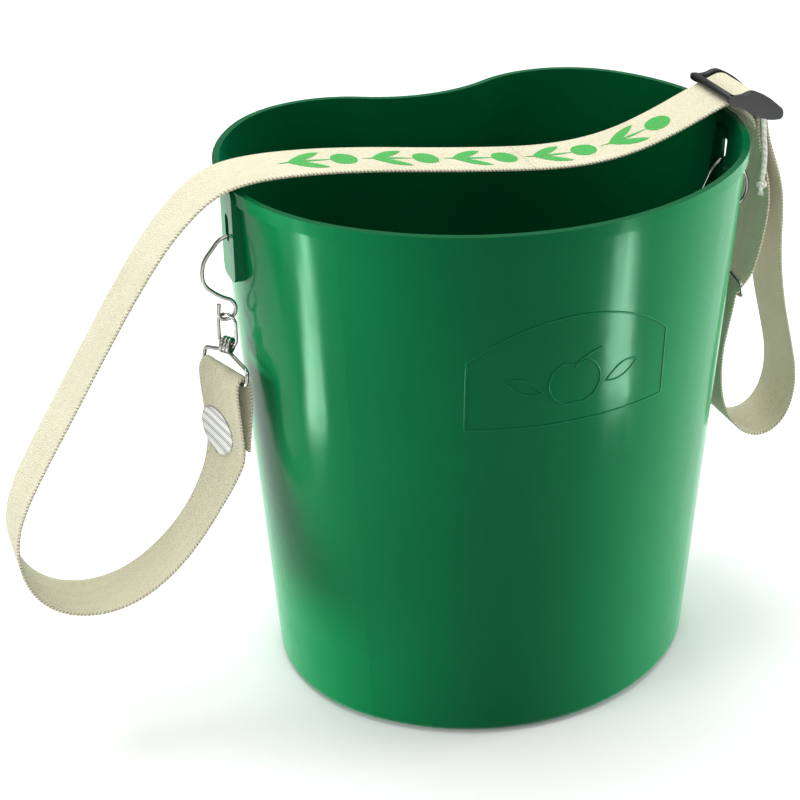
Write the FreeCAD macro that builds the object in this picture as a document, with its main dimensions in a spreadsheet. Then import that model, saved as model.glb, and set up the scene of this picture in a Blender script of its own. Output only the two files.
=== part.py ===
import FreeCAD, Part
import math
import os
import Sketcher
from FreeCAD import Placement, Rotation, Vector

# Fruit picking bucket worn on a webbing strap.
# Frame: X across the wearer (+X is the wearer's left hand side of the mouth), -Y is the
# bulging front, +Y the hollow that fits the belly, Z up. The origin is the middle of the foot.

DIMENSIONS = [
    # bucket
    ("rim_half_width", 166.0), ("rim_front", 140.5), ("front_radius", 183.0),
    ("end_radius", 127.0), ("lobe_radius", 75.0), ("lobe_offset", 77.5), ("dip_radius", 90.0),
    ("bucket_height", 352.0), ("base_ratio", 0.85), ("base_shift", -10.0),
    ("wall", 2.6), ("floor_thickness", 2.5), ("foot_height", 1.5), ("foot_inset", 6.5),
    ("base_round", 5.0), ("band_height", 8.0), ("band_proud", 1.4),
    # raised hook pockets at both ends of the bucket, and the slot in each
    ("pocket_face", 166.0), ("pocket_width", 24.0), ("pocket_bottom", 293.0),
    ("pocket_round", 6.0), ("slot_width", 7.0), ("slot_bottom", 317.0), ("slot_top", 334.0),
    ("hook_line", -8.0),
    # webbing
    ("webbing_width", 40.0), ("webbing_thickness", 2.2),
    # wire hardware
    ("hook_wire", 2.5), ("link_wire", 2.2), ("ring_wire", 2.5),
    ("link_width", 11.8), ("link_height", 21.8), ("link_top", 269.7), ("link_offset", 169.6),
    ("ring_inside", 41.4), ("ring_leg", 10.0), ("ring_rise", 19.2), ("bar_level", 229.5),
    ("bar_offset", 173.0), ("ring_lean", 10.0), ("coil_radius", 4.2), ("coil_pitch", 2.3),
    # sewn-in label and stitches
    ("label_width", 29.0), ("label_drop", 32.0), ("label_thickness", 0.5),
    ("stitch_length", 2.6), ("thread", 0.7),
    # slider
    ("slider_inside", 41.4), ("slider_rail", 4.0), ("slider_bar", 5.0),
    # cord
    ("cord_diameter", 3.5), ("knot_diameter", 8.0),
]

doc = FreeCAD.newDocument("picking_bucket")
sizes = doc.addObject("Spreadsheet::Sheet", "Sizes")
for row, (word, number) in enumerate(DIMENSIONS, start=1):
    sizes.set("A%d" % row, word)
    sizes.set("B%d" % row, str(number))
    sizes.setAlias("B%d" % row, word)
doc.recompute()
VALUE = {word: sizes.get(word) for word, _ in DIMENSIONS}

HOOK_Y = VALUE["hook_line"]
WEB = VALUE["webbing_thickness"]
RIM = VALUE["rim_half_width"]
LEFT_TURN, RIGHT_TURN = 20.0, 0.0     # the rings about the vertical, in degrees
LINK_TURN = 45.0                      # each link, half way between its hook's eye and its ring
nodes = []


def new_body(label, base=(0, 0, 0), turn=0.0):
    """A PartDesign body that becomes one node; turn is about the vertical."""
    body = doc.addObject("PartDesign::Body", label)
    body.Label = label
    body.Placement = Placement(Vector(*base), Rotation(Vector(0, 0, 1), turn))
    nodes.append(body)
    return body


def plane(body, role):
    return next(item for item in body.Origin.OriginFeatures if item.Role == role)


def new_sketch(body, name, role, offset="0"):
    """A sketch on one of the body's own planes, moved along that plane's normal."""
    sketch = body.newObject("Sketcher::SketchObject", name)
    sketch.AttachmentSupport = [(plane(body, role), "")]
    sketch.MapMode = "FlatFace"
    sketch.setExpression("AttachmentOffset.Base.z", offset)
    return sketch


def bind(sketch, constraint, expression):
    """Adds a dimension to a sketch and ties it to the sheet."""
    index = sketch.addConstraint(constraint)
    sketch.setExpression("Constraints[%d]" % index, expression)


# ---------------------------------------------------------------- bucket

def kidney_circles(ratio, shift, inset):
    """Centres and radii of the four kinds of arc in the kidney outline, right half."""
    front, end = VALUE["front_radius"] * ratio, VALUE["end_radius"] * ratio
    lobe, dip = VALUE["lobe_radius"] * ratio, VALUE["dip_radius"] * ratio
    front_c = Vector(0, front - VALUE["rim_front"] * ratio + shift, 0)
    end_x = RIM * ratio - end
    end_c = Vector(end_x, front_c.y - math.sqrt((front - end) ** 2 - end_x ** 2), 0)
    lobe_x = VALUE["lobe_offset"] * ratio
    lobe_c = Vector(lobe_x, end_c.y + math.sqrt((end - lobe) ** 2 - (end_x - lobe_x) ** 2), 0)
    dip_c = Vector(0, lobe_c.y + math.sqrt((lobe + dip) ** 2 - lobe_x ** 2), 0)
    return [(front_c, front - inset), (end_c, end - inset), (lobe_c, lobe - inset),
            (dip_c, dip + inset)]


def arc_between(centre, radius, start, finish):
    """Arc of a circle, counter-clockwise from one point to the other."""
    circle = Part.Circle(centre, Vector(0, 0, 1), radius)
    first = math.atan2(start.y - centre.y, start.x - centre.x)
    last = math.atan2(finish.y - centre.y, finish.x - centre.x)
    if last <= first:
        last += 2 * math.pi
    return Part.ArcOfCircle(circle, first, last)


def mirrored(point):
    return Vector(-point.x, point.y, 0)


def kidney_sketch(body, name, height, ratio, shift, inset):
    """Kidney outline of six tangent arcs; ratio, shift and inset are (number, expression)."""
    sketch = new_sketch(body, name, "XY_Plane", height)
    front, end, lobe, dip = kidney_circles(ratio[0], shift[0], inset[0])
    along = (end[0] - front[0]).normalize()
    join_1 = front[0] + along * front[1]
    join_2 = end[0] + (lobe[0] - end[0]).normalize() * end[1]
    join_3 = lobe[0] + (dip[0] - lobe[0]).normalize() * lobe[1]
    arcs = [
        arc_between(front[0], front[1], mirrored(join_1), join_1),
        arc_between(end[0], end[1], join_1, join_2),
        arc_between(lobe[0], lobe[1], join_2, join_3),
        arc_between(dip[0], dip[1], mirrored(join_3), join_3),
        arc_between(mirrored(lobe[0]), lobe[1], mirrored(join_3), mirrored(join_2)),
        arc_between(mirrored(end[0]), end[1], mirrored(join_2), mirrored(join_1)),
    ]
    sketch.addGeometry(arcs, False)
    START, FINISH, CENTRE = 1, 2, 3
    for first, first_end, second, second_end in (
            (0, FINISH, 1, START), (1, FINISH, 2, START), (2, FINISH, 3, FINISH),
            (3, START, 4, START), (4, FINISH, 5, START), (5, FINISH, 0, START)):
        sketch.addConstraint(
            Sketcher.Constraint("Tangent", first, first_end, second, second_end))
    for index, word, sign in ((0, "front", "-"), (1, "end", "-"), (2, "lobe", "-"),
                              (3, "dip", "+")):
        expression = "Sizes.%s_radius * %s %s (%s)" % (word, ratio[1], sign, inset[1])
        bind(sketch, Sketcher.Constraint("Radius", index, arcs[index].Radius), expression)
    sketch.addConstraint(Sketcher.Constraint("Equal", 1, 5))
    sketch.addConstraint(Sketcher.Constraint("Equal", 2, 4))
    sketch.addConstraint(Sketcher.Constraint("PointOnObject", 0, CENTRE, -2))
    sketch.addConstraint(Sketcher.Constraint("PointOnObject", 3, CENTRE, -2))
    bind(sketch, Sketcher.Constraint("DistanceY", -1, 1, 0, CENTRE, front[0].y),
         "(Sizes.front_radius - Sizes.rim_front) * %s + (%s)" % (ratio[1], shift[1]))
    bind(sketch, Sketcher.Constraint("DistanceX", -1, 1, 1, CENTRE, end[0].x),
         "(Sizes.rim_half_width - Sizes.end_radius) * %s" % ratio[1])
    bind(sketch, Sketcher.Constraint("DistanceX", 5, CENTRE, -1, 1, end[0].x),
         "(Sizes.rim_half_width - Sizes.end_radius) * %s" % ratio[1])
    bind(sketch, Sketcher.Constraint("DistanceX", -1, 1, 2, CENTRE, lobe[0].x),
         "Sizes.lobe_offset * %s" % ratio[1])
    return sketch


def rounded_rectangle(sketch, left, right, bottom, top, radius):
    """Closed outline with four round corners, or a long hole when radius is half a side."""
    corner = [(right, bottom, -90), (right, top, 0), (left, top, 90), (left, bottom, 180)]
    sides, arcs = [], []
    for x, y, start in corner:
        centre = Vector(x - math.copysign(radius, x - (left + right) / 2),
                        y - math.copysign(radius, y - (bottom + top) / 2), 0)
        first = math.radians(start)
        arcs.append(Part.ArcOfCircle(Part.Circle(centre, Vector(0, 0, 1), radius),
                                     first, first + math.pi / 2))
    for index, arc in enumerate(arcs):
        follower = arcs[(index + 1) % 4]
        if (arc.EndPoint - follower.StartPoint).Length > 1e-6:
            sides.append(Part.LineSegment(arc.EndPoint, follower.StartPoint))
    sketch.addGeometry(arcs + sides, False)


def lower_wall_edges(shape):
    """Names of the edges where the tapered wall ends, just above the foot."""
    level = VALUE["foot_height"] + 0.01
    low = [edge for face in shape.Faces
           if face.BoundBox.ZMin < level and face.BoundBox.ZMax > VALUE["bucket_height"] / 2
           for edge in face.Edges if edge.BoundBox.ZMax < level]
    return ["Edge%d" % number for number, edge in enumerate(shape.Edges, start=1)
            if any(edge.isSame(other) for other in low)]


def bucket_outside(body, full, small, none, moved):
    """Tapered kidney tub with a foot, a rim band and two raised hook pockets."""
    outer_base = kidney_sketch(body, "OuterBase", "Sizes.foot_height", small, moved, none)
    outer_rim = kidney_sketch(body, "OuterRim", "Sizes.bucket_height", full, none,
                              (VALUE["band_proud"], "Sizes.band_proud"))
    outside = body.newObject("PartDesign::AdditiveLoft", "Outside")
    outside.Profile = outer_base
    outside.Sections = [outer_rim]
    outside.Ruled = True

    foot = kidney_sketch(body, "FootOutline", "0", small, moved,
                         (VALUE["foot_inset"], "Sizes.foot_inset"))
    foot_pad = body.newObject("PartDesign::Pad", "Foot")
    foot_pad.Profile = foot
    foot_pad.setExpression("Length", "Sizes.foot_height + 1")

    band = kidney_sketch(body, "BandOutline", "Sizes.bucket_height - Sizes.band_height",
                         full, none, none)
    band_pad = body.newObject("PartDesign::Pad", "RimBand")
    band_pad.Profile = band
    band_pad.setExpression("Length", "Sizes.band_height")

    half = VALUE["pocket_width"] / 2
    raised = new_sketch(body, "PocketOutline", "YZ_Plane")
    rounded_rectangle(raised, HOOK_Y - half, HOOK_Y + half, VALUE["pocket_bottom"],
                      VALUE["bucket_height"] - 0.4, VALUE["pocket_round"])
    raised_pad = body.newObject("PartDesign::Pad", "HookPockets")
    raised_pad.Profile = raised
    raised_pad.Midplane = True
    raised_pad.setExpression("Length", "2 * Sizes.pocket_face")
    doc.recompute()

    rounding = body.newObject("PartDesign::Fillet", "BaseRounding")
    rounding.Base = (raised_pad, lower_wall_edges(raised_pad.Shape))
    rounding.setExpression("Radius", "Sizes.base_round")
    doc.recompute()
    body.Tip = rounding


def bucket_hollow(body, full, small, none, moved):
    """The inside of the tub, which leaves an even wall and a floor."""
    wall = VALUE["wall"]
    inner_base = kidney_sketch(body, "InnerBase", "Sizes.foot_height + Sizes.floor_thickness",
                               small, moved, (wall, "Sizes.wall"))
    inner_rim = kidney_sketch(body, "InnerRim", "Sizes.bucket_height", full, none,
                              (wall + VALUE["band_proud"], "Sizes.wall + Sizes.band_proud"))
    hollow = body.newObject("PartDesign::SubtractiveLoft", "Hollow")
    hollow.Profile = inner_base
    hollow.Sections = [inner_rim]
    hollow.Ruled = True


def cut_through_ends(body, name, outline, length):
    """Cuts the same outline through both ends of the tub."""
    sketch = new_sketch(body, name + "Outline", "YZ_Plane")
    rounded_rectangle(sketch, *outline)
    cut = body.newObject("PartDesign::Pocket", name)
    cut.Profile = sketch
    cut.Midplane = True
    cut.setExpression("Length", length)


def make_bucket():
    body = new_body("bucket_shell")
    full, small = (1.0, "1"), (VALUE["base_ratio"], "Sizes.base_ratio")
    none, moved = (0.0, "0"), (VALUE["base_shift"], "Sizes.base_shift")
    bucket_outside(body, full, small, none, moved)
    bucket_hollow(body, full, small, none, moved)
    wall, rim_band = VALUE["wall"], VALUE["band_height"]
    inside = VALUE["pocket_width"] / 2 - wall
    cut_through_ends(body, "PocketHollows",
                     (HOOK_Y - inside, HOOK_Y + inside, VALUE["pocket_bottom"] + wall,
                      VALUE["bucket_height"] - rim_band - 1, VALUE["pocket_round"] - wall),
                     "2 * (Sizes.pocket_face - Sizes.wall)")
    width = VALUE["slot_width"] / 2
    cut_through_ends(body, "Slots",
                     (HOOK_Y - width, HOOK_Y + width, VALUE["slot_bottom"],
                      VALUE["slot_top"], width - 0.01),
                     "2 * Sizes.pocket_face + 20")
    doc.recompute()


# ---------------------------------------------------------------- routes

def rounded_corners(points, share=0.45):
    """Straight runs with a tangent arc at every corner: (corner, radius, arc start, arc end)."""
    corners = []
    for before, here, after in zip(points, points[1:], points[2:]):
        incoming, outgoing = here - before, after - here
        turn = incoming.getAngle(outgoing)
        reach = share * min(incoming.Length, outgoing.Length)
        corners.append((here, reach / math.tan(turn / 2),
                        here - Vector(incoming).normalize() * reach,
                        here + Vector(outgoing).normalize() * reach))
    return corners


def route_edges(points, share=0.45):
    """Edges of a route: lines and tangent arcs, in order."""
    edges, place = [], points[0]
    for corner, radius, start, finish in rounded_corners(points, share):
        inward = ((start - corner) + (finish - corner)).normalize()
        middle_gap = math.hypot(radius, (start - corner).Length) - radius
        if (start - place).Length > 1e-4:
            edges.append(Part.LineSegment(place, start))
        edges.append(Part.Arc(start, corner + inward * middle_gap, finish))
        place = finish
    edges.append(Part.LineSegment(place, points[-1]))
    return edges


def offset_route(points, distance):
    """The same route moved sideways in its plane, with arcs about the same centres."""
    def side(direction):
        return Vector(-direction.y, direction.x, 0).normalize() * distance
    edges, place = [], points[0] + side(points[1] - points[0])
    for index, (corner, radius, start, finish) in enumerate(rounded_corners(points)):
        inward = ((start - corner) + (finish - corner)).normalize()
        centre = corner + inward * math.hypot(radius, (start - corner).Length)
        same_side = side(corner - points[index]).dot(inward) > 0
        scale = 1 - abs(distance) / radius if same_side else 1 + abs(distance) / radius
        new_start = centre + (start - centre) * scale
        new_finish = centre + (finish - centre) * scale
        middle = centre - inward * radius * scale
        edges.append(Part.LineSegment(place, new_start))
        edges.append(Part.Arc(new_start, middle, new_finish))
        place = new_finish
    edges.append(Part.LineSegment(place, points[-1] + side(points[-1] - points[-2])))
    return edges


def flat(points):
    """(x, z) pairs as points of an XZ sketch."""
    return [Vector(x, z, 0) for x, z in points]


def ribbon(label, points, base=(0, HOOK_Y, 0), turn=0.0):
    """A length of webbing: a ribbon that follows the route, as wide as the webbing."""
    body = new_body(label, base, turn)
    sketch = new_sketch(body, label + "_outline", "XZ_Plane")
    near, far = offset_route(points, WEB / 2), offset_route(points, -WEB / 2)
    caps = [Part.LineSegment(far[0].StartPoint, near[0].StartPoint),
            Part.LineSegment(near[-1].EndPoint, far[-1].EndPoint)]
    sketch.addGeometry(near + far + caps, False)
    pad = body.newObject("PartDesign::Pad", label + "_width")
    pad.Profile = sketch
    pad.Midplane = True
    pad.setExpression("Length", "Sizes.webbing_width")
    doc.recompute()
    return body


def closed_outline(points):
    """A closed outline whose corners are rounded by tangent arcs."""
    ring = [points[-1]] + points + [points[0]]
    corners = rounded_corners(ring)
    edges = []
    for index, (corner, radius, start, finish) in enumerate(corners):
        inward = ((start - corner) + (finish - corner)).normalize()
        middle_gap = math.hypot(radius, (start - corner).Length) - radius
        edges.append(Part.Arc(start, corner + inward * middle_gap, finish))
        follower = corners[(index + 1) % len(corners)]
        edges.append(Part.LineSegment(finish, follower[2]))
    return edges


def wire_pipe(body, name, spine, wire_word):
    """Sweeps a round wire section along a spine sketch of the body."""
    doc.recompute()
    section = body.newObject("Sketcher::SketchObject", name + "_section")
    section.AttachmentSupport = [(spine, "Edge1")]
    section.MapMode = "NormalToEdge"
    section.MapPathParameter = 0.0
    circle = Part.Circle(Vector(0, 0, 0), Vector(0, 0, 1), VALUE[wire_word] / 2)
    section.addGeometry(circle, False)
    bind(section, Sketcher.Constraint("Diameter", 0, VALUE[wire_word]), "Sizes." + wire_word)
    section.addConstraint(Sketcher.Constraint("Coincident", 0, 3, -1, 1))
    doc.recompute()
    pipe = body.newObject("PartDesign::AdditivePipe", name + "_wire")
    pipe.Profile = section
    pipe.Spine = (spine, ["Edge%d" % (n + 1) for n in range(len(spine.Geometry))])
    doc.recompute()
    return pipe


# ---------------------------------------------------------------- wire hardware

# From the tip inside the bucket: arch over the slot, long bow outside, then an open eye.
HOOK_ROUTE = [(150.5, 301.0), (156.0, 314.0), (163.0, 320.6), (171.0, 319.0), (182.5, 305.0),
              (183.0, 291.0), (173.0, 282.0), (163.6, 277.5), (164.0, 267.0), (174.9, 266.0),
              (173.8, 277.0)]


def make_hook(side, way):
    body = new_body("hook_" + side, (0, HOOK_Y, 0))
    spine = new_sketch(body, "hook_%s_route" % side, "XZ_Plane")
    spine.addGeometry(route_edges(flat([(x * way, z) for x, z in HOOK_ROUTE])), False)
    wire_pipe(body, "hook_" + side, spine, "hook_wire")


def make_link(side, way):
    """Long round-ended link, turned half way between the hook's eye and the ring's coil."""
    body = new_body("link_" + side, (VALUE["link_offset"] * way, HOOK_Y, 0), LINK_TURN * way)
    spine = new_sketch(body, "link_%s_route" % side, "XZ_Plane")
    radius = VALUE["link_width"] / 2
    top = VALUE["link_top"] - radius
    bottom = VALUE["link_top"] - VALUE["link_height"] + radius
    axis = Vector(0, 0, 1)
    spine.addGeometry([
        Part.ArcOfCircle(Part.Circle(Vector(0, top, 0), axis, radius), 0, math.pi),
        Part.LineSegment(Vector(-radius, top, 0), Vector(-radius, bottom, 0)),
        Part.ArcOfCircle(Part.Circle(Vector(0, bottom, 0), axis, radius), math.pi,
                         2 * math.pi),
        Part.LineSegment(Vector(radius, bottom, 0), Vector(radius, top, 0)),
    ], False)
    wire_pipe(body, "link_" + side, spine, "link_wire")


def make_ring(side, way, turn):
    """Wire ring for the webbing: bottom bar, two legs, shoulders and a coiled eye on top."""
    tilt = Rotation(Vector(0, 1, 0), -VALUE["ring_lean"] * way)
    place = Placement(Vector(VALUE["bar_offset"] * way, HOOK_Y, VALUE["bar_level"]),
                      Rotation(Vector(0, 0, 1), turn).multiply(tilt))
    frame = doc.addObject("PartDesign::Body", "ring_%s_frame" % side)
    spine = new_sketch(frame, "ring_%s_route" % side, "YZ_Plane")
    half = (VALUE["ring_inside"] + VALUE["ring_wire"]) / 2
    shoulder = VALUE["ring_leg"]
    neck = VALUE["ring_rise"] - VALUE["coil_radius"] + VALUE["ring_wire"] / 4
    neck_half = VALUE["ring_wire"] / 2
    spine.addGeometry(route_edges([
        Vector(neck_half, neck, 0), Vector(half, shoulder, 0), Vector(half, 0, 0),
        Vector(-half, 0, 0), Vector(-half, shoulder, 0), Vector(-neck_half, neck, 0)], 0.3), False)
    wire_pipe(frame, "ring_" + side, spine, "ring_wire")
    pieces = [frame]
    across_link = Rotation(Vector(0, 0, 1), LINK_TURN * way - turn)
    for step in (-1, 0, 1):
        coil = doc.addObject("Part::Torus", "ring_%s_coil" % side)
        coil.setExpression("Radius1", "Sizes.coil_radius")
        coil.setExpression("Radius2", "Sizes.ring_wire / 2")
        along = across_link.multVec(Vector(step * VALUE["coil_pitch"], 0, 0))
        coil.Placement = Placement(Vector(along.x, along.y, VALUE["ring_rise"]),
                                   across_link.multiply(Rotation(Vector(0, 1, 0), 90)))
        pieces.append(coil)
    ring = doc.addObject("Part::MultiFuse", "ring_" + side)
    ring.Shapes = pieces
    ring.Placement = place
    nodes.append(ring)


# ---------------------------------------------------------------- webbing

OVER_ROUTE = [(-163.0, 356.3), (-143.0, 359.5), (-112.0, 358.5), (-76.0, 354.5), (-34.0, 348.0),
              (6.0, 342.5), (38.0, 339.0), (66.0, 338.8), (92.0, 342.4), (118.0, 350.8),
              (146.0, 362.2)]
LEFT_ROUTE = [(-176.0, 354.0), (-189.0, 345.0), (-207.0, 327.0), (-229.0, 296.0),
              (-250.0, 262.5), (-271.0, 228.0), (-291.0, 196.0), (-306.0, 169.0),
              (-312.0, 148.0), (-311.0, 127.0), (-303.0, 106.5), (-286.0, 92.0),
              (-262.0, 87.0), (-238.0, 93.0), (-216.0, 108.5), (-198.0, 129.0),
              (-184.0, 153.0), (-178.8, 168.5)]
TAB_ROUTE = [(-1.6, -57.0), (-2.6, -34.0), (-4.8, -12.0), (-4.9, 1.8), (0.0, 5.6), (4.7, 1.8),
             (5.6, -12.0), (3.6, -32.0), (1.4, -47.0)]
RIGHT_ROUTE = [(181.0, 341.0), (188.0, 326.0), (195.5, 307.0), (199.0, 288.0), (200.0, 264.0),
               (203.0, 240.0), (208.5, 214.0), (216.0, 188.0), (222.5, 164.0), (223.0, 143.0),
               (217.0, 126.0), (205.0, 117.5), (191.0, 119.0), (178.0, 130.0), (168.0, 147.0),
               (164.0, 168.0), (163.5, 190.0), (166.5, 209.0), (168.6, 222.0), (169.4, 231.0),
               (174.5, 236.2), (181.0, 245.0), (185.0, 261.0), (188.0, 283.0), (187.8, 301.0),
               (183.5, 316.0), (175.5, 333.0)]
ARCH_ROUTE = [(147.8, 363.2), (158.0, 367.0), (168.0, 370.7), (177.2, 364.0), (180.8, 347.5)]
FOLD_ROUTE = [(172.1, 348.5), (171.0, 353.5), (165.2, 357.2), (163.3, 362.3), (168.0, 367.5),
              (172.9, 362.5), (174.0, 354.0), (175.3, 348.5)]


def make_label(place):
    """Thin tag that lies on the outer face of the left tab."""
    body = new_body("strap_label")
    outline = new_sketch(body, "label_outline", "YZ_Plane")
    back_edge, top = VALUE["webbing_width"] / 2 - 0.5, -24.0
    rounded_rectangle(outline, back_edge - VALUE["label_width"], back_edge,
                      top - VALUE["label_drop"], top, 13.0)
    pad = body.newObject("PartDesign::Pad", "label_sheet")
    pad.Profile = outline
    pad.setExpression("Length", "Sizes.label_thickness")
    body.Placement = place.multiply(
        Placement(Vector(-7.5, 0, 0), Rotation(Vector(0, 1, 0), -3.2)))


def make_stitches(label, levels, start, finish, place):
    """Rows of thread right through two layers of webbing, one block for each stitch."""
    count, gap = 9, 3.9
    blocks = []
    for level in levels:
        for index in range(count):
            block = doc.addObject("Part::Box", label + "_stitch")
            block.Length = finish - start
            block.setExpression("Width", "Sizes.stitch_length")
            block.setExpression("Height", "Sizes.thread")
            across = (index - (count - 1) / 2) * gap - VALUE["stitch_length"] / 2
            block.Placement.Base = Vector(start, across, level)
            blocks.append(block)
    group = doc.addObject("Part::Compound", label)
    group.Links = blocks
    group.Placement = place
    nodes.append(group)


# ---------------------------------------------------------------- slider and cord

RAIL_OUTLINE = [(148.8, 371.4), (158.0, 369.6), (166.0, 372.6), (177.0, 367.5), (188.8, 357.5),
                (188.8, 351.4), (179.0, 351.6), (168.0, 356.6), (159.0, 362.4), (149.0, 366.6)]
BARS = [(151.4, 369.1), (168.2, 361.6), (185.4, 354.4)]


def make_slider():
    """Three-bar slider: two leaf-shaped rails joined by three round bars."""
    body = new_body("slider_frame", (0, HOOK_Y, 0))
    rail = new_sketch(body, "rail_outline", "XZ_Plane")
    rail.addGeometry(closed_outline(flat(RAIL_OUTLINE)), False)
    blank = body.newObject("PartDesign::Pad", "rails")
    blank.Profile = rail
    blank.Midplane = True
    blank.setExpression("Length", "Sizes.slider_inside + 2 * Sizes.slider_rail")
    opening = new_sketch(body, "opening_outline", "XZ_Plane")
    opening.addGeometry([Part.LineSegment(*pair) for pair in (
        (Vector(140, 340, 0), Vector(196, 340, 0)), (Vector(196, 340, 0), Vector(196, 380, 0)),
        (Vector(196, 380, 0), Vector(140, 380, 0)), (Vector(140, 380, 0), Vector(140, 340, 0)),
    )], False)
    window = body.newObject("PartDesign::Pocket", "opening")
    window.Profile = opening
    window.Midplane = True
    window.setExpression("Length", "Sizes.slider_inside")
    bars = new_sketch(body, "bar_sections", "XZ_Plane")
    for x, z in BARS:
        circle = Part.Circle(Vector(x, z, 0), Vector(0, 0, 1), VALUE["slider_bar"] / 2 - 0.05)
        bars.addGeometry(circle, False)
    bar_pad = body.newObject("PartDesign::Pad", "bars")
    bar_pad.Profile = bars
    bar_pad.Midplane = True
    bar_pad.setExpression("Length", "Sizes.slider_inside + Sizes.slider_rail")


CORD_Y = -31.0
CORD_ROUTE = [(175.9, CORD_Y, 353.4), (177.0, CORD_Y, 342.0), (178.6, CORD_Y - 0.6, 332.0),
              (178.9, CORD_Y - 1.0, 321.0), (178.2, CORD_Y - 0.6, 311.4)]


def make_cord():
    """Short braided cord that hangs from the front rail and ends in a knot."""
    points = [Vector(*point) for point in CORD_ROUTE]
    print("cord radii", [round(radius, 1) for _, radius, _, _ in rounded_corners(points)])
    path = Part.Wire([edge.toShape() for edge in route_edges(points)])
    start = (points[1] - points[0]).normalize()
    radius = VALUE["cord_diameter"] / 2
    section = Part.Wire(Part.makeCircle(radius, points[0], start))
    tube = path.makePipeShell([section], True, False)
    print("cord length %.1f, volume %.0f of %.0f" % (
        path.Length, tube.Volume, path.Length * math.pi * radius ** 2))
    cord = doc.addObject("Part::Feature", "release_cord")
    cord.Shape = tube
    nodes.append(cord)
    knot = doc.addObject("Part::Sphere", "cord_knot")
    knot.setExpression("Radius", "Sizes.knot_diameter / 2")
    end = points[-1]
    bite = 0.8
    knot.Placement.Base = end - Vector(0, 0, VALUE["knot_diameter"] / 2 - bite)
    nodes.append(knot)


# ---------------------------------------------------------------- whole object

make_bucket()
for side, way, turn in (("left", -1, LEFT_TURN), ("right", 1, RIGHT_TURN)):
    make_hook(side, way)
    make_link(side, way)
    make_ring(side, way, turn)
left_bar = Placement(Vector(-VALUE["bar_offset"], HOOK_Y, VALUE["bar_level"]),
                     Rotation(Vector(0, 0, 1), LEFT_TURN))
ribbon("strap_over", flat(OVER_ROUTE))
ribbon("strap_left_loop", flat(LEFT_ROUTE))
ribbon("strap_left_tab", flat(TAB_ROUTE), left_bar.Base, LEFT_TURN)
ribbon("strap_right_loop", flat(RIGHT_ROUTE))
ribbon("strap_slider_arch", flat(ARCH_ROUTE))
ribbon("strap_end_fold", flat(FOLD_ROUTE))
make_label(left_bar)
make_stitches("stitching_left", (-41.0, -45.0), -3.9, 3.5, left_bar)
make_stitches("stitching_end", (350.0, 353.0), 170.2, 175.9,
              Placement(Vector(0, HOOK_Y, 0), Rotation()))
make_slider()
make_cord()


def write_nodes():
    doc.recompute()
    for item in doc.Objects:
        if "Invalid" in item.State or "Error" in item.State:
            raise RuntimeError("%s is %s" % (item.Label, item.State))
    os.makedirs("parts", exist_ok=True)
    for node in nodes:
        if node.Shape.isNull() or not node.Shape.isValid():
            raise RuntimeError("%s has no sound shape" % node.Label)
        node.Shape.exportStep("parts/%s.step" % node.Label)
        box = node.Shape.BoundBox
        print("%-20s solids %2d volume %9.0f  x %7.1f %7.1f  y %7.1f %7.1f  z %7.1f %7.1f" % (
            node.Label, len(node.Shape.Solids), node.Shape.Volume, box.XMin, box.XMax,
            box.YMin, box.YMax, box.ZMin, box.ZMax))


write_nodes()
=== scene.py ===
import math

import bpy
import numpy as np
from mathutils import Matrix, Vector
from mathutils.bvhtree import BVHTree


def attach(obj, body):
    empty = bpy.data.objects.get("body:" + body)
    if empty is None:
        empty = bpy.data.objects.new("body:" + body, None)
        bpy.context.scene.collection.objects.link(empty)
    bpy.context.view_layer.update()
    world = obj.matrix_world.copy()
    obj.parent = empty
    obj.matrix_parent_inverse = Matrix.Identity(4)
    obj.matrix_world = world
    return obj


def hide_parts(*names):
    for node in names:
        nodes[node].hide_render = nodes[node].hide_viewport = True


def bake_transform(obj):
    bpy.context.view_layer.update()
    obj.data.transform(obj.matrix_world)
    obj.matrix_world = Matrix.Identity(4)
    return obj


# Kidney-shaped picking bucket on a webbing strap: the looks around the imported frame.
# Shapes are worked out in mm and turned into Blender's metres when their mesh is made.
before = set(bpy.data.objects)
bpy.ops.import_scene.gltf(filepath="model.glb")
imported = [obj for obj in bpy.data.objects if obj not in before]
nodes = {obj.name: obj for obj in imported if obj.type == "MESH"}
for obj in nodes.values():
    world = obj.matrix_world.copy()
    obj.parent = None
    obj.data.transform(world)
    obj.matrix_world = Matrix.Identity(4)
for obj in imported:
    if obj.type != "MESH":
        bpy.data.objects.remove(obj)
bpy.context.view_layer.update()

MM = 0.001
WIDTH, THICKNESS = 40.0, 2.0          # webbing
STRAP_Y = -8.0                        # middle line of the webbing
LEFT_BAR = (-173.0, STRAP_Y, 229.5)   # bar of the left ring
TAB_TURN = 20.0                       # how far the left ring and its tab are turned, in degrees


# ---------------------------------------------------------------- camera, floor and light

SUBJECT_MIDDLE = (0, 0, 0.2)
# Name, place and size in metres, and power in watts.
SOFTBOXES = (("top_softbox", (-0.1, 0.5, 2.2), (2.2, 2.2), 66),
             ("front_softbox", (-0.3, -1.9, 1.4), (1.0, 1.0), 9),
             ("left_softbox", (-1.7, -0.3, 0.7), (0.7, 1.0), 10),
             ("right_softbox", (1.7, -0.3, 0.7), (0.7, 1.0), 10))
# Name, place on the floor and size in metres, turn in degrees, and power in watts.
GLOSS_PANELS = (("left_panel", (-0.64, -0.045), (0.40, 0.09), 2.0, 3.8),
                ("right_panel", (0.44, -0.51), (0.36, 0.10), -44.0, 3.6))
PANEL_HEIGHT = 0.004
# Name, place in metres, and power in watts; both have one aim and one size.
SIDE_WASHES = (("left_wash", (-1.22, 0.44, 0.19), 76),
               ("right_wash", (1.28, -0.20, 0.19), 68))
WASH_AIM, WASH_SIZE = (0, 0, 0.17), (0.9, 0.34)


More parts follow.
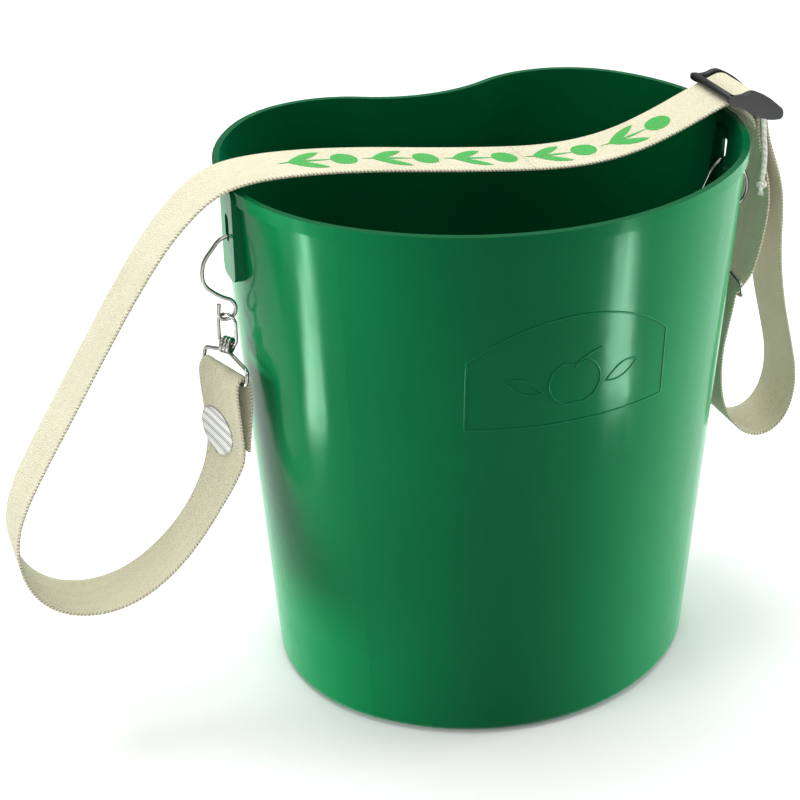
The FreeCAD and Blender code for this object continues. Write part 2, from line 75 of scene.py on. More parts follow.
def add_camera():
    """Camera at a high three-quarter view, rolled by half a degree."""
    azimuth, elevation, roll = math.radians(-20.386), math.radians(29.289), math.radians(-0.566)
    target, distance = Vector((-0.05639, 0, 0.18328)), 1.14869
    away = Vector((math.sin(azimuth) * math.cos(elevation),
                   -math.cos(azimuth) * math.cos(elevation), math.sin(elevation)))
    right = Vector((0, 0, 1)).cross(away).normalized()
    up = away.cross(right)
    rolled_right = right * math.cos(roll) + up * math.sin(roll)
    rolled_up = up * math.cos(roll) - right * math.sin(roll)
    data = bpy.data.cameras.new("camera")
    data.lens, data.sensor_width = 80.17, 36.0
    camera = bpy.data.objects.new("camera", data)
    rotation = Matrix((rolled_right, rolled_up, away)).transposed()
    camera.matrix_world = Matrix.Translation(target + away * distance) @ rotation.to_4x4()
    bpy.context.scene.collection.objects.link(camera)
    bpy.context.scene.camera = camera


def add_floor():
    """Pale floor, wide enough to fill the view."""
    half = 6.0
    mesh = bpy.data.meshes.new("floor")
    corners = [(-half, -half, 0), (half, -half, 0), (half, half, 0), (-half, half, 0)]
    mesh.from_pydata(corners, [], [(0, 1, 2, 3)])
    floor = bpy.data.objects.new("floor", mesh)
    bpy.context.scene.collection.objects.link(floor)
    material, _, _ = new_material("floor_paint", Base_Color=(0.93, 0.93, 0.93, 1), Roughness=0.7)
    mesh.materials.append(material)


def facing(place, aim):
    """Rotation of a light at place that shines towards aim."""
    return (Vector(aim) - Vector(place)).to_track_quat("-Z", "Y").to_euler()


def add_area_light(name, place, rotation, size, power):
    """A rectangular light that the camera itself doesn't see."""
    data = bpy.data.lights.new(name, "AREA")
    data.shape, data.size, data.size_y, data.energy = "RECTANGLE", size[0], size[1], power
    light = bpy.data.objects.new(name, data)
    light.location, light.rotation_euler = place, rotation
    light.visible_camera = False
    bpy.context.scene.collection.objects.link(light)
    return light


def add_lights():
    """Plain white studio, shown with the plain sRGB curve so that the green stays saturated."""
    bpy.context.scene.view_settings.view_transform = "Standard"
    world = bpy.data.worlds.new("studio")
    bpy.context.scene.world = world
    world.use_nodes = True
    background = world.node_tree.nodes["Background"]
    background.inputs["Color"].default_value = (1.0, 1.0, 1.0, 1)
    background.inputs["Strength"].default_value = 0.40
    for name, place, size, power in SOFTBOXES:
        add_area_light(name, place, facing(place, SUBJECT_MIDDLE), size, power)
    for name, (x, y), size, turn, power in GLOSS_PANELS:
        # It lies on the floor, shines up and shows only as a mirrored highlight.
        shining_up = (math.pi, 0, math.radians(turn))
        panel = add_area_light(name, (x, y, PANEL_HEIGHT), shining_up, size, power)
        panel.visible_diffuse = False


def add_side_washes(badge):
    """Soft side light on the bucket alone, which leaves the middle of its front darker."""
    bucket_only = bpy.data.collections.new("bucket_only")
    for thing in (nodes["bucket_shell"], badge):
        bucket_only.objects.link(thing)
    for name, place, power in SIDE_WASHES:
        wash = add_area_light(name, place, facing(place, WASH_AIM), WASH_SIZE, power)
        wash.visible_glossy = False
        wash.light_linking.receiver_collection = bucket_only


# ---------------------------------------------------------------- materials

def set_sockets(node, **values):
    """Sets input sockets; each underscore in a name stands for a space."""
    for name, value in values.items():
        node.inputs[name.replace("_", " ")].default_value = value


def new_material(name, **sockets):
    """A material, its main shader with these input values, and its node tree."""
    material = bpy.data.materials.new(name)
    material.use_nodes = True
    shader = material.node_tree.nodes["Principled BSDF"]
    set_sockets(shader, **sockets)
    return material, shader, material.node_tree


def add_node(tree, kind, sockets=None, **settings):
    """A shader node with these input values and settings."""
    node = tree.nodes.new(kind)
    set_sockets(node, **(sockets or {}))
    for name, value in settings.items():
        setattr(node, name, value)
    return node


def math_node(tree, operation, first, second=None):
    """One step of arithmetic on numbers or on other nodes' outputs."""
    node = add_node(tree, "ShaderNodeMath", operation=operation)
    for socket, value in zip(node.inputs, (first, second)):
        if isinstance(value, (int, float)):
            socket.default_value = value
        elif value is not None:
            tree.links.new(value, socket)
    return node.outputs[0]


def sine(tree, value, wavelength):
    return math_node(tree, "SINE", math_node(tree, "MULTIPLY", value, math.tau / wavelength))


def noise(tree, coordinate, scale, detail=3.0):
    node = add_node(tree, "ShaderNodeTexNoise", {"Scale": scale, "Detail": detail})
    tree.links.new(coordinate, node.inputs["Vector"])
    return node.outputs["Fac"]


def object_place(tree):
    return add_node(tree, "ShaderNodeTexCoord").outputs["Object"]


def ribbon_place(tree, axis):
    """Place in mm on a ribbon's own map, which is in metres: X is across and Y along."""
    uv = add_node(tree, "ShaderNodeUVMap", uv_map="ribbon")
    split = add_node(tree, "ShaderNodeSeparateXYZ")
    tree.links.new(uv.outputs["UV"], split.inputs[0])
    return math_node(tree, "MULTIPLY", split.outputs[axis], 1000.0)


def mixed_colour(tree, factor, first, second):
    """A mix of two colours, each given as a tuple or as a node's output."""
    node = add_node(tree, "ShaderNodeMix", data_type="RGBA")
    tree.links.new(factor, node.inputs[0])
    for socket, value in ((node.inputs[6], first), (node.inputs[7], second)):
        if isinstance(value, tuple):
            socket.default_value = (*value, 1)
        else:
            tree.links.new(value, socket)
    return node.outputs[2]


def mapped(tree, value, source, target):
    """The value carried over from one (low, high) range to another, and held inside it."""
    node = add_node(tree, "ShaderNodeMapRange")
    tree.links.new(value, node.inputs[0])
    for socket, number in zip(node.inputs[1:5], source + target):
        socket.default_value = number
    return node.outputs[0]


def add_bump(tree, shader, height, strength, distance):
    bump = add_node(tree, "ShaderNodeBump", {"Strength": strength, "Distance": distance})
    tree.links.new(height, bump.inputs["Height"])
    tree.links.new(bump.outputs["Normal"], shader.inputs["Normal"])


def bucket_plastic():
    """Deep green glossy polypropylene with a faint orange peel and rubbed patches."""
    material, shader, tree = new_material(
        "bucket_plastic", Specular_IOR_Level=0.13, Specular_Tint=(0.30, 1.0, 0.58, 1),
        Sheen_Weight=0.15, Sheen_Roughness=0.35, Sheen_Tint=(0.02, 0.95, 0.42, 1),
        Subsurface_Weight=0.06, Subsurface_Radius=(0.002, 0.012, 0.005), Subsurface_Scale=0.6)
    place = object_place(tree)
    deep, light = (0.0002, 0.060, 0.0175), (0.0005, 0.079, 0.0240)
    tree.links.new(mixed_colour(tree, noise(tree, place, scale=9.0), deep, light),
                   shader.inputs["Base Color"])
    upright_streaks = add_node(tree, "ShaderNodeMapping", {"Scale": (60.0, 60.0, 4.0)})
    tree.links.new(place, upright_streaks.inputs["Vector"])
    rubbed = noise(tree, upright_streaks.outputs["Vector"], scale=2.0, detail=5.0)
    tree.links.new(mapped(tree, rubbed, (0.35, 0.75), (0.13, 0.24)), shader.inputs["Roughness"])
    orange_peel = noise(tree, place, scale=60.0, detail=2.0)
    add_bump(tree, shader, orange_peel, strength=0.035, distance=0.0015)
    return material


def wire_metal():
    """Bright plated steel wire, a little cloudy."""
    material, shader, tree = new_material("plated_wire", Metallic=1.0)
    place = object_place(tree)
    cloud = noise(tree, place, scale=160.0)
    dull, bright = (0.26, 0.255, 0.24), (0.52, 0.51, 0.48)
    tree.links.new(mixed_colour(tree, cloud, dull, bright), shader.inputs["Base Color"])
    tree.links.new(mapped(tree, cloud, (0.3, 0.7), (0.08, 0.2)), shader.inputs["Roughness"])
    add_bump(tree, shader, noise(tree, place, scale=900.0), strength=0.12, distance=0.0004)
    return material


def slider_coating():
    """Near-black coating with a fine grain that is thinner in rubbed places."""
    material, shader, tree = new_material("slider_coating", Specular_IOR_Level=0.28)
    place = object_place(tree)
    cloud = noise(tree, place, scale=120.0, detail=6.0)
    rubbed = mapped(tree, cloud, (0.55, 0.8), (0.0, 1.0))
    black, grey = (0.010, 0.011, 0.012), (0.040, 0.041, 0.043)
    tree.links.new(mixed_colour(tree, rubbed, black, grey), shader.inputs["Base Color"])
    tree.links.new(mapped(tree, cloud, (0.3, 0.7), (0.28, 0.45)), shader.inputs["Roughness"])
    add_bump(tree, shader, noise(tree, place, scale=1400.0), strength=0.18, distance=0.0003)
    return material


# Wavelengths of the weave in mm: the twill's lines, the ribs along the tape and the dashes in
# its selvedges; then the width of one stripe of the herringbone.
TWILL, RIB, DASH, HERRINGBONE = 1.9, 1.0, 2.4, 5.0
SELVEDGE = 19.0   # where the dashed selvedges start, in mm from the middle line


def weave(tree):
    """Height of the herringbone twill, and the mask of the dashes in its selvedges."""
    twill_share, rib_share, dash_level = 0.75, 0.25, 0.4
    across, along = ribbon_place(tree, "X"), ribbon_place(tree, "Y")
    slant = math_node(tree, "ADD", along, math_node(tree, "PINGPONG", across, HERRINGBONE))
    height = math_node(tree, "ADD",
                       math_node(tree, "MULTIPLY", sine(tree, slant, TWILL), twill_share),
                       math_node(tree, "MULTIPLY", sine(tree, across, RIB), rib_share))
    edge = math_node(tree, "GREATER_THAN", math_node(tree, "ABSOLUTE", across), SELVEDGE)
    dash = math_node(tree, "GREATER_THAN", sine(tree, slant, DASH), dash_level)
    return height, math_node(tree, "MULTIPLY", edge, dash)


def webbing_cloth(name, light, dark, dash_colour):
    """Woven tape: herringbone twill, dashed selvedges, uneven yarn, and painted shade in the
    twill's hollows.
    """
    material, shader, tree = new_material(name, Roughness=0.85, Sheen_Weight=0.15,
                                          Sheen_Roughness=0.4)
    height, dashes = weave(tree)
    place = object_place(tree)
    yarn = mapped(tree, noise(tree, place, scale=700.0, detail=2.0), (0.3, 0.7), (0.35, 1.0))
    cloud = mapped(tree, noise(tree, place, scale=26.0), (0.35, 0.7), (0.0, 0.55))
    # Painted shade: the cloth darkens where the twill is low, added to the random cloud of tone.
    painted_hollow_shade = mapped(tree, height, (-1.0, 0.4), (1.0, 0.0))
    tone_and_hollow_shade = math_node(tree, "MAXIMUM", cloud, painted_hollow_shade)
    cloth = mixed_colour(tree, math_node(tree, "MULTIPLY", tone_and_hollow_shade, yarn), light, dark)
    tree.links.new(mixed_colour(tree, dashes, cloth, dash_colour), shader.inputs["Base Color"])
    raised = math_node(tree, "ADD", height, math_node(tree, "MULTIPLY", yarn, 0.5))
    add_bump(tree, shader, raised, strength=0.85, distance=0.0005)
    return material


def label_film():
    """Pale film with slanted printed grey stripes."""
    material, shader, tree = new_material("label_film", Roughness=0.35)
    along, ink_level = ribbon_place(tree, "Y"), 0.75
    fine, wide = sine(tree, along, wavelength=1.7), sine(tree, along, wavelength=7.3)
    stripes = math_node(tree, "GREATER_THAN", math_node(tree, "ADD", fine, wide), ink_level)
    film, ink = (0.74, 0.75, 0.72), (0.16, 0.17, 0.165)
    tree.links.new(mixed_colour(tree, stripes, film, ink), shader.inputs["Base Color"])
    grain = noise(tree, object_place(tree), scale=300.0)
    add_bump(tree, shader, grain, strength=0.1, distance=0.0003)
    return material


def thread_material(name, colour, twist):
    """Twisted or braided yarn: slanted ridges, with painted shade darkening the hollows between
    them.
    """
    material, shader, tree = new_material(name, Roughness=0.8, Sheen_Weight=0.3)
    wave = add_node(tree, "ShaderNodeTexWave", {"Scale": twist, "Distortion": 1.5},
                    bands_direction="DIAGONAL")
    tree.links.new(object_place(tree), wave.inputs["Vector"])
    # Painted shade: the colour darkens where the wave leaves the ridges low.
    hollow_shade = 0.72
    dark = tuple(hollow_shade * part for part in colour)
    tree.links.new(mixed_colour(tree, wave.outputs["Fac"], dark, colour),
                   shader.inputs["Base Color"])
    add_bump(tree, shader, wave.outputs["Fac"], strength=0.6, distance=0.0004)
    return material


# ---------------------------------------------------------------- faces and meshes

def ring_faces(rings, sides, closed=False):
    """Four-sided faces between neighbouring rings; the last meets the first when closed."""
    faces = []
    for i in range(rings if closed else rings - 1):
        here, there = i * sides, (i + 1) % rings * sides
        faces += [(here + j, here + (j + 1) % sides, there + (j + 1) % sides, there + j)
                  for j in range(sides)]
    return faces


def end_faces(rings, sides):
    """The two faces that close the first and the last ring."""
    return [tuple(range(sides))[::-1], tuple(range((rings - 1) * sides, rings * sides))]


def shifted(faces, first):
    """The same faces for vertices that start at the number first."""
    return [tuple(first + index for index in face) for face in faces]


def directions(points, closed):
    """Unit direction along a row of points at each of them."""
    ahead = np.roll(points, -1, axis=0) - np.roll(points, 1, axis=0)
    if not closed:
        ahead[0], ahead[-1] = points[1] - points[0], points[-1] - points[-2]
    return ahead / np.linalg.norm(ahead, axis=1)[:, None]


def make_mesh(name, vertices, faces, material, uv=None):
    """A smooth mesh object from points in mm; uv holds one pair in metres for each vertex."""
    mesh = bpy.data.meshes.new(name)
    mesh.from_pydata([tuple(v) for v in np.array(vertices) * MM], [], faces)
    mesh.polygons.foreach_set("use_smooth", [True] * len(mesh.polygons))
    if uv is not None:
        layer = mesh.uv_layers.new(name="ribbon")
        loops = np.zeros(len(mesh.loops), int)
        mesh.loops.foreach_get("vertex_index", loops)
        layer.data.foreach_set("uv", np.array(uv, float)[loops].ravel())
    mesh.materials.append(material)
    thing = bpy.data.objects.new(name, mesh)
    bpy.context.scene.collection.objects.link(thing)
    return thing


# ---------------------------------------------------------------- webbing

ROW_STEP = 1.5      # distance between two rows of the webbing's vertices
SPAN_SAMPLES = 40   # samples of each span of a route, before they are spaced evenly


def smooth_line(points):
    """Even samples of the quadratic spline whose control points are given."""
    points = np.array(points, float)
    middles = (points[1:] + points[:-1]) / 2
    starts = np.vstack([points[:1], middles[1:-1]])
    ends = np.vstack([middles[1:-1], points[-1:]])
    t = np.linspace(0, 1, SPAN_SAMPLES, endpoint=False)[:, None]
    runs = [a * (1 - t) ** 2 + b * 2 * t * (1 - t) + c * t ** 2
            for a, b, c in zip(starts, points[1:-1], ends)]
    line = np.vstack([*runs, points[-1:]])
    along = np.concatenate([[0], np.cumsum(np.linalg.norm(np.diff(line[:, :3], axis=0), axis=1))])
    even = np.linspace(0, along[-1], int(along[-1] / ROW_STEP) + 1)
    return even, np.column_stack([np.interp(even, along, column) for column in line.T])


class Ribbon:
    """A length of webbing along a route of (x, y, z, turn of its width) in mm and degrees."""

    def __init__(self, route):
        self.along, line = smooth_line(route)
        self.centre, turn = line[:, :3], np.radians(line[:, 3])
        tangent = np.gradient(self.centre, axis=0)
        tangent /= np.linalg.norm(tangent, axis=1)[:, None]
        width = np.column_stack([-np.sin(turn), np.cos(turn), np.zeros(len(turn))])
        width -= (width * tangent).sum(1)[:, None] * tangent
        self.width = width / np.linalg.norm(width, axis=1)[:, None]
        self.normal = np.cross(tangent, self.width)

    def point(self, s, t, lift):
        """Place in mm of the point s along, t across and lift above the middle surface."""
        centre, width, normal = (
            np.array([np.interp(s, self.along, column) for column in rows.T])
            for rows in (self.centre, self.width, self.normal))
        return centre + width * t + normal * lift

    def nearest(self, place):
        """How far along the middle line comes closest to a place."""
        return self.along[np.argmin(np.linalg.norm(self.centre - np.array(place), axis=1))]


def webbing_section():
    """Closed cross-section of the webbing: flat faces, rounded edges and fuller selvedges."""
    half, thick = WIDTH / 2, THICKNESS / 2
    margin, columns = 1.0, 11                 # where the flat face ends, and its vertices
    fullness, inset, reach = 0.12, 1.6, 1.0   # how thick, how far in and how wide a selvedge is
    top = []
    for t in np.linspace(-half + margin, half - margin, columns):
        fuller = fullness * math.exp(-((half - abs(t) - inset) / reach) ** 2)
        top.append((t, thick - fullness + fuller))
    # The rounded edge: how far in from the side, and the share of the half thickness there.
    edge = [(half - 0.45, 0.78 * thick), (half - 0.05, 0.32 * thick)]
    side = edge + [(t, -lift) for t, lift in reversed(edge)]
    under = [(t, -lift) for t, lift in reversed(top)]
    return top + side + under + [(-t, -lift) for t, lift in side]


def webbing(name, ribbon, material, start=0.0):
    """The ribbon as a closed mesh; its map counts metres along from start."""
    outline = webbing_section()
    sides, rows = len(outline), len(ribbon.along)
    vertices, uv = [], []
    for i, s in enumerate(ribbon.along):
        for t, lift in outline:
            vertices.append(ribbon.centre[i] + ribbon.width[i] * t + ribbon.normal[i] * lift)
            uv.append((t * MM, (s + start) * MM))
    faces = ring_faces(rows, sides) + end_faces(rows, sides)
    piece = make_mesh(name, vertices, [face[::-1] for face in faces], material, uv)
    for cut_end in piece.data.polygons[-2:]:
        cut_end.use_smooth = False
    return piece


# Routes of the webbing's middle surface, as control points of the spline. Those in the strap's
# own upright plane and those about the left bar are (x, z) pairs; LOWER_TURN joins the two.

def in_plane(points):
    """(x, z) pairs of a route in the strap's own upright plane, with its width along Y."""
    return [(x, STRAP_Y, z, 0.0) for x, z in points]


def on_tab(points):
    """(x, z) pairs about the left bar, turned with the ring."""
    turn = math.radians(TAB_TURN)
    return [(LEFT_BAR[0] + x * math.cos(turn), STRAP_Y + x * math.sin(turn), LEFT_BAR[2] + z,
             TAB_TURN) for x, z in points]


TAB = [(1.6, -47.0), (3.6, -32.0), (5.6, -12.0), (4.7, 1.8), (0.0, 5.6), (-4.9, 1.8),
       (-4.8, -12.0), (-2.6, -34.0), (-1.9, -52.0)]
LOWER_TURN = [(-178.8, STRAP_Y - 0.5, 166.0, 13.0), (-184.0, STRAP_Y, 153.0, 6.0)]
LEFT_LOOP = [(-198.0, 129.0), (-216.0, 108.5), (-238.0, 93.0), (-262.0, 87.0), (-286.0, 92.0),
             (-303.0, 106.5), (-311.0, 127.0), (-312.0, 148.0), (-306.0, 169.0),
             (-291.0, 196.0), (-271.0, 228.0), (-250.0, 262.5), (-229.0, 296.0),
             (-207.0, 327.0), (-189.0, 345.0), (-176.0, 354.0)]
OVER_LEFT = [(-163.0, 358.2), (-143.0, 359.8), (-112.0, 358.5), (-76.0, 354.5), (-34.0, 348.0),
             (6.0, 342.5), (22.0, 340.75)]
OVER_RIGHT = [(22.0, 340.75), (38.0, 339.0), (66.0, 338.8), (92.0, 342.4), (118.0, 350.8),
              (146.0, 362.5), (158.0, 367.0), (168.0, 370.7), (177.2, 364.0), (180.8, 347.5)]
RIGHT_LOOP = [(183.0, 338.0), (188.0, 326.0), (195.5, 307.0), (199.0, 288.0), (200.0, 264.0),
              (203.0, 240.0), (208.5, 214.0), (216.0, 188.0), (222.5, 164.0), (223.0, 143.0),
              (217.0, 126.0), (205.0, 117.5), (191.0, 119.0), (178.0, 130.0), (168.0, 147.0),
              (164.0, 168.0), (163.5, 190.0), (166.5, 209.0), (168.6, 222.0), (169.4, 231.0),
              (174.5, 236.2), (181.0, 245.0), (185.0, 261.0), (188.0, 283.0), (187.8, 301.0),
              (183.5, 316.0), (177.5, 331.0), (175.6, 343.0)]
END_FOLD = [(174.3, 354.0), (172.9, 362.5), (168.0, 367.5), (163.3, 362.3), (165.2, 357.2),
            (170.9, 353.0), (172.6, 345.5)]


def add_webbing():
    """Both halves of the strap; they meet in the middle of the mouth."""
    cream = webbing_cloth("webbing_cloth", (0.80, 0.76, 0.56), (0.50, 0.46, 0.30),
                          (0.34, 0.32, 0.23))
    left = Ribbon(on_tab(TAB) + LOWER_TURN + in_plane(LEFT_LOOP + OVER_LEFT))
    right = Ribbon(in_plane(OVER_RIGHT + RIGHT_LOOP + END_FOLD))
    left_piece = webbing("webbing_left", left, cream)
    right_piece = webbing("webbing_right", right, cream, left.along[-1])
    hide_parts("strap_left_loop", "strap_left_tab", "strap_over")
    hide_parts("strap_right_loop", "strap_slider_arch", "strap_end_fold")
    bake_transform(left_piece)
    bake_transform(right_piece)
    return left, right


def flat_shapes(name, ribbon, shapes, lift, material):
    """Thin printed shapes on the ribbon; each is (from, to, middle line, half width)."""
    vertices, faces, uv, steps = [], [], [], 14
    for low, high, middle, half in shapes:
        first = len(vertices)
        for i in range(steps + 1):
            s = low + (high - low) * i / steps
            for side in (-1, 1):
                t = middle(s) + side * half(s)
                vertices.append(ribbon.point(s, t, lift))
                uv.append((t * MM, s * MM))
        faces += [(first + 2 * i, first + 2 * i + 2, first + 2 * i + 3, first + 2 * i + 1)
                  for i in range(steps)]
    return make_mesh(name, vertices, faces, material, uv)


def leaf(start, length, slope, fullness, base):
    """A pointed leaf that starts at base across the strap and leans outward by its slope."""
    bluntness = 0.8

    def half_width(s):
        share = min(max((s - start) / length, 0), 1)
        return fullness * math.sin(math.pi * share) ** bluntness
    return start, start + length, lambda s: base + slope * (s - start), half_width


def fruit(centre, radius):
    """A round fruit on the middle line of the strap."""
    return (centre - radius, centre + radius, lambda s: 0.0,
            lambda s: math.sqrt(max(radius ** 2 - (s - centre) ** 2, 0)))


def add_print(left, right):
    """A plain green border of leaves and fruit along the strap over the mouth."""
    green = webbing_cloth("printed_green", (0.055, 0.46, 0.070), (0.03, 0.32, 0.045),
                          (0.03, 0.28, 0.04))
    ink_height, pitch = 0.06, 52.0
    halves = (("left", left, left.nearest((-127, STRAP_Y, 359)), 3),
              ("right", right, right.nearest((29.5, STRAP_Y, 340)), 2))
    for side, ribbon, first, units in halves:
        shapes = []
        for start in (first + unit * pitch for unit in range(units)):
            shapes += [leaf(start, length=22.0, slope=0.5, fullness=4.2, base=0.9),
                       leaf(start, length=22.0, slope=-0.5, fullness=4.2, base=-0.9),
                       leaf(start - 7.0, length=34.0, slope=0.0, fullness=1.3, base=0.0),
                       fruit(start + 34.0, radius=8.4)]
        piece = flat_shapes("printed_leaves_" + side, ribbon, shapes,
                            THICKNESS / 2 + ink_height, green)
        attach(piece, "mouth_strap")


def stitches(name, ribbon, rows, body, replaced, material):
    """Thread humps that sink into the webbing's lower face, in a row across it at each s."""
    row_start, row_end, pitch, length = -17.5, 16.0, 3.9, 2.9
    radius, slimness, sunk, bulge = 0.48, 0.55, 0.25, 0.35
    rings, sides = 7, 8
    vertices, faces = [], []
    for s in rows:
        for t in np.arange(row_start, row_end, pitch):
            faces += shifted(ring_faces(rings, sides) + end_faces(rings, sides), len(vertices))
            for share in (i / (rings - 1) for i in range(rings)):
                bow = math.sin(math.pi * share)
                girth = radius * (slimness + (1 - slimness) * bow)
                for angle in (math.tau * j / sides for j in range(sides)):
                    depth = THICKNESS / 2 - sunk + bulge * bow + girth * math.sin(angle)
                    vertices.append(ribbon.point(s + girth * math.cos(angle),
                                                 t + length * share, -depth))
    piece = make_mesh(name, vertices, faces, material)
    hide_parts(replaced)
    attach(piece, body)


def add_stitching(left, right):
    """Two rows of stitches on each layer of both sewn ends."""
    thread = thread_material("sewing_thread", (0.78, 0.76, 0.66), 260.0)
    inner, outer = left.nearest((-171, -8, 186)), left.nearest((-176, -9, 186))
    rows = [layer + step for layer in (inner, outer) for step in (-1.5, 3.0)]
    stitches("stitches_left", left, rows, "left_strap", "stitching_left", thread)
    strand, tail = right.nearest((174.8, STRAP_Y, 350)), right.nearest((171.6, STRAP_Y, 350))
    rows = [strand - 2.0, strand + 2.0, tail - 1.0, tail + 2.0]
    stitches("stitches_end", right, rows, "mouth_strap", "stitching_end", thread)


def add_label(left):
    """Round film label that lies on the tab's outer face, over its back edge."""
    centre_s, centre_t, lift = left.nearest((-176.5, -9, 189)), 6.5, -1.25
    radius, film, lengthening, edge_curl = 15.5, 0.28, 1.08, 0.9
    stripe_slant = math.radians(14)
    rings, sides = 9, 40
    vertices, uv = [], []
    for face in (0.0, -film):
        for i in range(rings + 1):
            for j in range(sides):
                reach, angle = radius * i / rings, math.tau * j / sides
                s, t = reach * math.cos(angle) * lengthening, reach * math.sin(angle)
                # The rim curls away from the webbing, most of all past its back edge.
                near_edge = max(0.0, (reach / radius) ** 4 - 0.5)
                curl = edge_curl * near_edge * (0.6 + 0.4 * math.sin(angle))
                vertices.append(left.point(centre_s + s, centre_t + t, lift + face - curl))
                uv.append((t * MM, (s * math.cos(stripe_slant) + t * math.sin(stripe_slant)) * MM))
    layer = (rings + 1) * sides
    faces = []
    for i in range(rings):
        for j in range(sides):
            a, b = i * sides + j, i * sides + (j + 1) % sides
            faces.append((a, b, b + sides, a + sides))
            faces.append((a + layer, a + sides + layer, b + sides + layer, b + layer))
    rim = rings * sides
    faces += [(rim + j, rim + (j + 1) % sides, rim + (j + 1) % sides + layer, rim + j + layer)
              for j in range(sides)]
    piece = make_mesh("label_disc", vertices, faces, label_film(), uv)
    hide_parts("strap_label")
    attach(piece, "left_strap")


# ---------------------------------------------------------------- release cord

CORD_ROUTE = [(175.9, -31.0, 353.4), (177.0, -31.0, 342.0), (178.6, -31.6, 332.0),
              (178.9, -32.0, 321.0), (178.2, -31.6, 311.4)]
CORD_DIAMETER = 3.5


def tube(points, radius, sides=12, closed=False):
    """Vertices and faces of a tube through points; the ends of an open tube are closed."""
    points = np.array(points, float)
    vertices = []
    ahead = directions(points, closed)
    side = np.cross(ahead[0], (0.31, 0.87, 0.38))   # any way that isn't the first direction
    for place, forward in zip(points, ahead):
        side = side - forward * side.dot(forward)
        side /= np.linalg.norm(side)
        other = np.cross(forward, side)
        vertices += [place + radius * (side * math.cos(a) + other * math.sin(a))
                     for a in np.linspace(0, math.tau, sides, endpoint=False)]
    faces = ring_faces(len(points), sides, closed)
    if not closed:
        faces += end_faces(len(points), sides)
    return vertices, faces


def add_knot(material):
    """A tight trefoil knot with a ring of short frayed strands under it."""
    scale, drop, yarn = 0.82, 3.2, 1.45
    strands, strand_yarn, root_out, root_down = 9, 0.32, 0.6, 2.6
    centre = np.array(CORD_ROUTE[-1]) - (0, 0, drop)
    t = np.linspace(0, math.tau, 120, endpoint=False)
    loops = np.column_stack([np.sin(t) + 2 * np.sin(2 * t), -1.15 * np.sin(3 * t),
                             np.cos(t) - 2 * np.cos(2 * t)]) * scale + centre
    vertices, faces = tube(loops, yarn, closed=True)
    random = np.random.default_rng(7)
    for angle in np.linspace(0, math.tau, strands, endpoint=False):
        out = np.array([math.cos(angle), math.sin(angle), 0])
        lean = out * random.uniform(0.5, 1.3) + (0, 0, -random.uniform(3.4, 4.6))
        root = centre + out * root_out - (0, 0, root_down)
        strand = [root, root + lean * 0.5 + out * 0.3, root + lean]
        more, around = tube(strand, strand_yarn, sides=6)
        faces += shifted(around, len(vertices))
        vertices += more
    knot = make_mesh("tied_knot", vertices, faces, material)
    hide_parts("cord_knot")
    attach(knot, "slider")
    return knot


def add_cord():
    """The cord that hangs from the slider's front rail, with its knot."""
    material = thread_material("braided_cord", (0.80, 0.77, 0.68), 150.0)
    curve = bpy.data.curves.new("pull_cord", "CURVE")
    curve.dimensions = "3D"
    curve.bevel_depth, curve.use_fill_caps = CORD_DIAMETER / 2 * MM, True
    curve.bevel_resolution, curve.resolution_u = 5, 12
    spline = curve.splines.new("NURBS")
    spline.points.add(len(CORD_ROUTE) - 1)
    for point, place in zip(spline.points, CORD_ROUTE):
        point.co = (*(value * MM for value in place), 1)
    spline.order_u, spline.use_endpoint_u = 3, True
    cord = bpy.data.objects.new("pull_cord", curve)
    bpy.context.scene.collection.objects.link(cord)
    curve.materials.append(material)
    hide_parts("release_cord")
    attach(cord, "slider")
    knot = add_knot(material)


# ---------------------------------------------------------------- raised mark on the front

def bucket_front():
    """A function that finds the place on the bucket's front at x, z, and the way out there."""
    mesh = nodes["bucket_shell"].data
    tree = BVHTree.FromPolygons([v.co.copy() for v in mesh.vertices],
                                [tuple(p.vertices) for p in mesh.polygons])

    def find(x, z):
        place, normal, _, _ = tree.ray_cast(Vector((x * MM, -1.0, z * MM)), Vector((0, 1, 0)))
        outward = normal if normal.y < 0 else -normal
        return np.array(place) / MM, np.array(outward)
    return find


# Half-round section of a moulded bead: shares of its width and of its height.
BEAD = ((-0.5, -0.25), (-0.42, 0.5), (-0.2, 1.0), (0.2, 1.0), (0.42, 0.5), (0.5, -0.25))


def raised_line(find, points, width, height, closed=True):
    """A low moulded bead that follows (x, z) points on the bucket's front."""
    points = np.array(points, float)
    vertices = []
    for (x, z), (ax, az) in zip(points, directions(points, closed)):
        for side, rise in BEAD:
            place, outward = find(x - az * side * width, z + ax * side * width)
            vertices.append(place + outward * rise * height)
    return vertices, ring_faces(len(points), len(BEAD), closed)


def arc(centre, radius, first, last, count):
    """Points of a circle, with angles in degrees."""
    return [(centre[0] + radius * math.cos(a), centre[1] + radius * math.sin(a))
            for a in np.radians(np.linspace(first, last, count))]


def line(start, finish, count):
    """Evenly spaced points of a straight line."""
    return [tuple(point) for point in np.linspace(start, finish, count)]


def badge_outline():
    """Flat foot, short upright sides and a low arch on top."""
    half, low, high, rise = 63.0, 229.0, 273.0, 25.0
    radius = (half ** 2 + rise ** 2) / (2 * rise)
    spread = math.degrees(math.asin(half / radius))
    top = arc((0, high + rise - radius), radius, 90 - spread, 90 + spread, 48)
    return (line((-half, low), (half, low), 50)[:-1] + line((half, low), (half, high), 18)[:-1]
            + top[:-1] + line((-half, high), (-half, low), 18)[:-1])


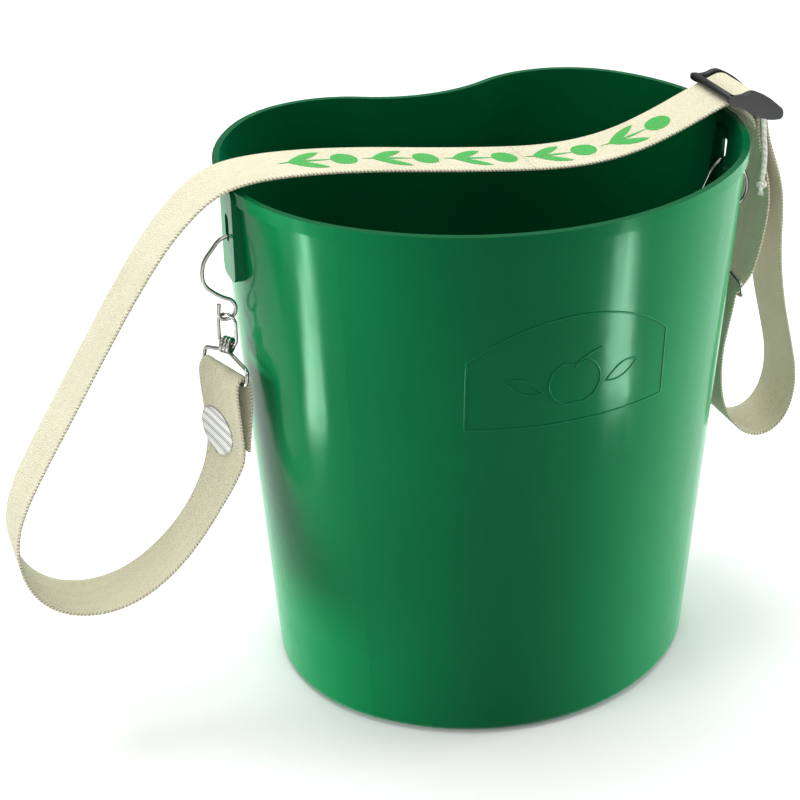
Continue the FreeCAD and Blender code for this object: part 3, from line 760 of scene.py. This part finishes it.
def fruit_mark():
    """A plain apple, its stalk and two leaves, each with whether its line closes."""
    middle, size, broader = 255.0, 15.0, 1.08
    stalk_foot, stalk_bend = 9.5, 0.16
    leaf_root, leaf_length, leaf_drop, leaf_rise = 20.0, 22.0, 4, 9
    apple = []
    for a in np.linspace(0, math.tau, 70, endpoint=False):
        dent = 1 - 0.26 * math.exp(-((a - math.pi / 2) / 0.33) ** 2)
        foot = 1 - 0.10 * math.exp(-((a - 3 * math.pi / 2) / 0.25) ** 2)
        reach = size * dent * foot
        apple.append((broader * reach * math.cos(a), middle + reach * math.sin(a)))
    stalk = [(stalk_bend * q * q, middle + stalk_foot + q) for q in np.linspace(0, 10, 10)]

    def leaf_edge(way, bulge):
        """One edge of the leaf on the left (way -1) or right (way 1), from root to tip."""
        return [(leaf_root * way + way * (leaf_length * q),
                 middle - leaf_drop + leaf_rise * q + bulge * math.sin(math.pi * q))
                for q in np.linspace(0, 1, 20)]

    leaves = [leaf_edge(way, 5) + leaf_edge(way, -4)[-2:0:-1] for way in (-1, 1)]
    return [(apple, True), (stalk, False), (leaves[0], True), (leaves[1], True)]


def add_badge(plastic):
    """The raised mark: an arched outline around the fruit."""
    find = bucket_front()
    vertices, faces = raised_line(find, badge_outline(), width=1.5, height=0.40)
    for points, closed in fruit_mark():
        more, around = raised_line(find, points, width=1.4, height=0.36, closed=closed)
        faces += shifted(around, len(vertices))
        vertices += more
    badge = make_mesh("front_badge", vertices, faces, plastic)
    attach(badge, "bucket")
    return badge


# ---------------------------------------------------------------- carried-over CAD parts

def finish_cad_part(name, material, bevel=0.0):
    """Gives a CAD part its material, and rounds its hard edges by the bevel in mm."""
    weld_reach, hard_angle = 0.00001, math.radians(35)
    part = nodes[name]
    part.data.materials.clear()
    part.data.materials.append(material)
    if bevel:
        weld = part.modifiers.new("weld", "WELD")
        weld.merge_threshold = weld_reach
        rounding = part.modifiers.new("rounding", "BEVEL")
        rounding.width, rounding.segments = bevel * MM, 3
        rounding.limit_method, rounding.angle_limit = "ANGLE", hard_angle
        rounding.harden_normals = True


def finish_cad_parts():
    """Materials for everything that comes from CAD; returns the bucket's plastic."""
    plastic, metal = bucket_plastic(), wire_metal()
    finish_cad_part("bucket_shell", plastic)
    for side in ("left", "right"):
        for kind in ("hook", "link", "ring"):
            finish_cad_part(kind + "_" + side, metal)
    finish_cad_part("slider_frame", slider_coating(), 0.7)
    return plastic


add_camera()
add_cord()
add_floor()
add_lights()
green_plastic = finish_cad_parts()
left_ribbon, right_ribbon = add_webbing()
add_print(left_ribbon, right_ribbon)
add_stitching(left_ribbon, right_ribbon)
add_label(left_ribbon)
add_side_washes(add_badge(green_plastic))
